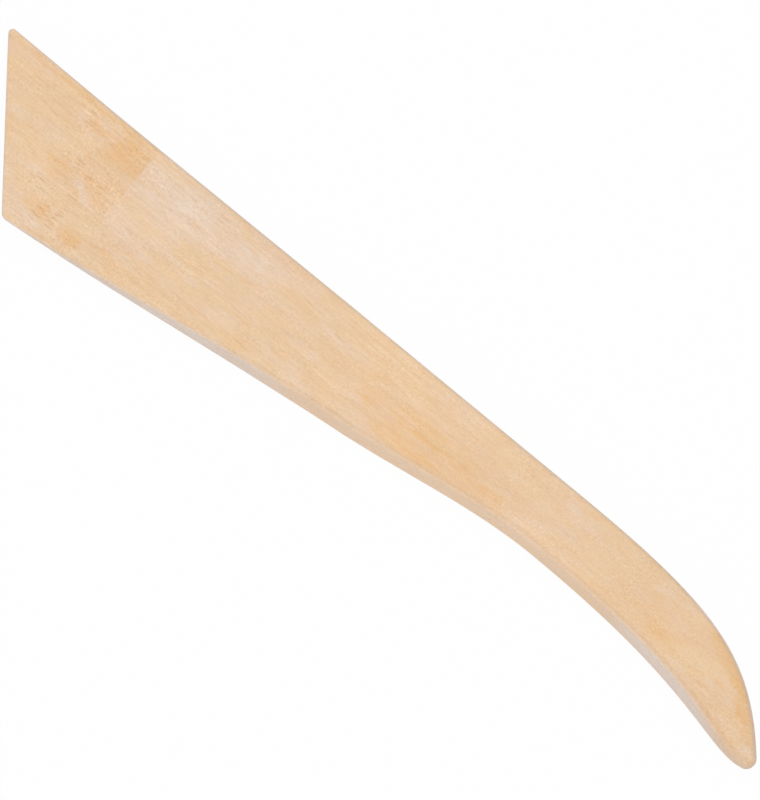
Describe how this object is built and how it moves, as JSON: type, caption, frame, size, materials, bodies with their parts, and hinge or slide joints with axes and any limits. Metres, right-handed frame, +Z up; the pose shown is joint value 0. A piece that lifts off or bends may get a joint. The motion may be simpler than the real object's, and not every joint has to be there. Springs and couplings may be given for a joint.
{
  "type": "wooden pottery tool",
  "caption": "Flat hardwood pottery tool with a thin, slanted blade and a hooked, rounded nose, for trimming, ribbing and smoothing clay.",
  "frame": {"origin": "under the middle of the tool's outline, on the flat face that it lies on", "axes": "+X along the tool from the slanted blade to the hooked nose, +Y from the shaped lower edge to the straight back, +Z up through the thickness of the strip"},
  "size_m": [0.203, 0.032, 0.0064],
  "materials": {
    "pale_hardwood": "bare, finely sanded"
  },
  "bodies": {
    "root": {"wooden_tool": "pale_hardwood"}
  },
  "joints": []
}
